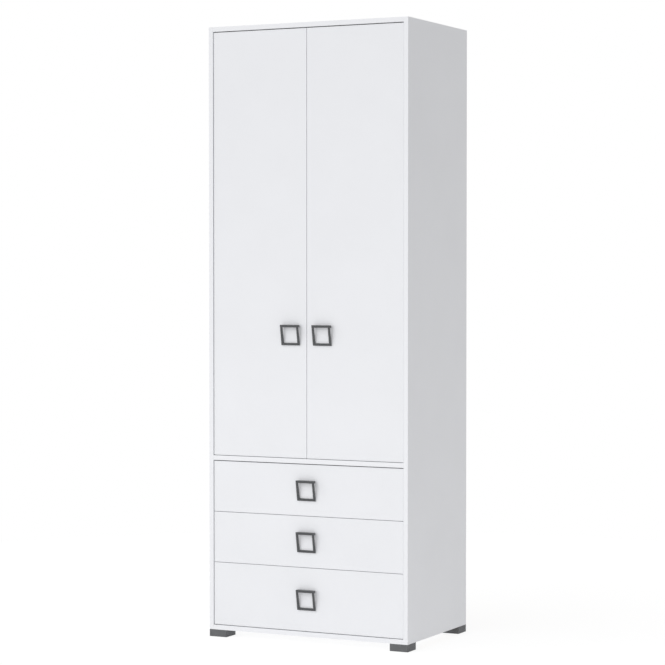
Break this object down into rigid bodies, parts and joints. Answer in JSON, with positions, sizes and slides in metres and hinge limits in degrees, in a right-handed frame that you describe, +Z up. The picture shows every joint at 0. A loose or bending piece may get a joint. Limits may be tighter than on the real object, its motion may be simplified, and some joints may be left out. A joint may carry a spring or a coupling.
{
  "type": "wardrobe",
  "caption": "Tall narrow white wardrobe with inset hinged doors over inset drawers, dark square ring handles and flat dark block feet.",
  "frame": {"origin": "on the floor, under the middle of the whole object's box, handles included", "axes": "+Z up, -Y out of the doors towards the user, +X to the right of someone who faces the doors"},
  "size_m": [0.74, 0.4934, 2.06],
  "materials": {
    "white_laminate": "matt white melamine face on particle board",
    "white_hardboard": "thin white-lacquered hardboard",
    "drawer_board": "white foil on particle board",
    "handle_grey": "satin anthracite lacquer on cast metal",
    "foot_grey": "matt dark grey moulded plastic",
    "nickel": "satin nickel plate",
    "zinc": "bright zinc plate",
    "white_steel": "white powder coat on rolled steel",
    "chrome": "polished chrome",
    "white_plastic": "white moulded plastic",
    "roller_nylon": "natural nylon",
    "beech": "raw fluted beech"
  },
  "bodies": {
    "carcass": {"left_side_panel": "white_laminate", "right_side_panel": "white_laminate", "top_panel": "white_laminate", "bottom_panel": "white_laminate", "middle_shelf": "white_laminate", "hat_shelf": "white_laminate", "lower_back_panel": "white_hardboard", "upper_back_panel": "white_hardboard", "back_panel_joiner": "white_plastic", "shelf_pins": "nickel", "clothes_rail": "chrome", "clothes_rail_sockets": "zinc", "feet": "foot_grey", "cam_locks": "zinc", "cam_bolts": "zinc", "wooden_dowels": "beech", "hinge_arms": "nickel", "hinge_plates": "nickel", "carcass_screws": "zinc", "top_cabinet_rails": "white_steel", "middle_cabinet_rails": "white_steel", "bottom_cabinet_rails": "white_steel"},
    "left_door": {"left_door_panel": "white_laminate", "left_hinge_cups": "nickel", "left_hinge_pins": "nickel", "left_door_handle": "handle_grey", "left_handle_screws": "zinc"},
    "right_door": {"right_door_panel": "white_laminate", "right_hinge_cups": "nickel", "right_hinge_pins": "nickel", "right_door_handle": "handle_grey", "right_handle_screws": "zinc"},
    "top_drawer": {"top_drawer_front": "white_laminate", "top_drawer_sides": "drawer_board", "top_drawer_back": "drawer_board", "top_drawer_bottom": "white_hardboard", "top_drawer_handle": "handle_grey", "top_drawer_screws": "zinc", "top_drawer_rails": "white_steel"},
    "middle_drawer": {"middle_drawer_front": "white_laminate", "middle_drawer_sides": "drawer_board", "middle_drawer_back": "drawer_board", "middle_drawer_bottom": "white_hardboard", "middle_drawer_handle": "handle_grey", "middle_drawer_screws": "zinc", "middle_drawer_rails": "white_steel"},
    "bottom_drawer": {"bottom_drawer_front": "white_laminate", "bottom_drawer_sides": "drawer_board", "bottom_drawer_back": "drawer_board", "bottom_drawer_bottom": "white_hardboard", "bottom_drawer_handle": "handle_grey", "bottom_drawer_screws": "zinc", "bottom_drawer_rails": "white_steel"},
    "top_front_roller_pair": {"top_front_rollers": "roller_nylon"},
    "top_rear_roller_pair": {"top_rear_rollers": "roller_nylon"},
    "middle_front_roller_pair": {"middle_front_rollers": "roller_nylon"},
    "middle_rear_roller_pair": {"middle_rear_rollers": "roller_nylon"},
    "bottom_front_roller_pair": {"bottom_front_rollers": "roller_nylon"},
    "bottom_rear_roller_pair": {"bottom_rear_rollers": "roller_nylon"}
  },
  "joints": [
    {"name": "left_door_hinge", "type": "hinge", "parent": "carcass", "child": "left_door", "pos_m": [-0.3325, -0.22375, 1.32925], "axis": [0, 0, -1], "range_deg": [0, 100]},
    {"name": "right_door_hinge", "type": "hinge", "parent": "carcass", "child": "right_door", "pos_m": [0.3325, -0.22375, 1.32925], "axis": [0, 0, 1], "range_deg": [0, 100]},
    {"name": "top_drawer_slide", "type": "slide", "parent": "carcass", "child": "top_drawer", "axis": [0, -1, 0], "range_m": [0, 0.3]},
    {"name": "middle_drawer_slide", "type": "slide", "parent": "carcass", "child": "middle_drawer", "axis": [0, -1, 0], "range_m": [0, 0.3]},
    {"name": "bottom_drawer_slide", "type": "slide", "parent": "carcass", "child": "bottom_drawer", "axis": [0, -1, 0], "range_m": [0, 0.3]},
    {"name": "top_front_roller_spin", "type": "hinge", "parent": "carcass", "child": "top_front_roller_pair", "pos_m": [0, -0.19775, 0.44785], "axis": [1, 0, 0], "range_deg": [0, 2000]},
    {"name": "top_rear_roller_spin", "type": "hinge", "parent": "top_drawer", "child": "top_rear_roller_pair", "pos_m": [0, 0.18875, 0.44785], "axis": [1, 0, 0], "range_deg": [0, 2000]},
    {"name": "middle_front_roller_spin", "type": "hinge", "parent": "carcass", "child": "middle_front_roller_pair", "pos_m": [0, -0.19775, 0.27585], "axis": [1, 0, 0], "range_deg": [0, 2000]},
    {"name": "middle_rear_roller_spin", "type": "hinge", "parent": "middle_drawer", "child": "middle_rear_roller_pair", "pos_m": [0, 0.18875, 0.27585], "axis": [1, 0, 0], "range_deg": [0, 2000]},
    {"name": "bottom_front_roller_spin", "type": "hinge", "parent": "carcass", "child": "bottom_front_roller_pair", "pos_m": [0, -0.19775, 0.06335], "axis": [1, 0, 0], "range_deg": [0, 2000]},
    {"name": "bottom_rear_roller_spin", "type": "hinge", "parent": "bottom_drawer", "child": "bottom_rear_roller_pair", "pos_m": [0, 0.18875, 0.06335], "axis": [1, 0, 0], "range_deg": [0, 2000]}
  ],
  "couplings": [
    {"joint": "top_front_roller_spin", "follows": "top_drawer_slide", "rad_per_m": 113.64},
    {"joint": "top_rear_roller_spin", "follows": "top_drawer_slide", "rad_per_m": 113.64},
    {"joint": "middle_front_roller_spin", "follows": "middle_drawer_slide", "rad_per_m": 113.64},
    {"joint": "middle_rear_roller_spin", "follows": "middle_drawer_slide", "rad_per_m": 113.64},
    {"joint": "bottom_front_roller_spin", "follows": "bottom_drawer_slide", "rad_per_m": 113.64},
    {"joint": "bottom_rear_roller_spin", "follows": "bottom_drawer_slide", "rad_per_m": 113.64}
  ]
}
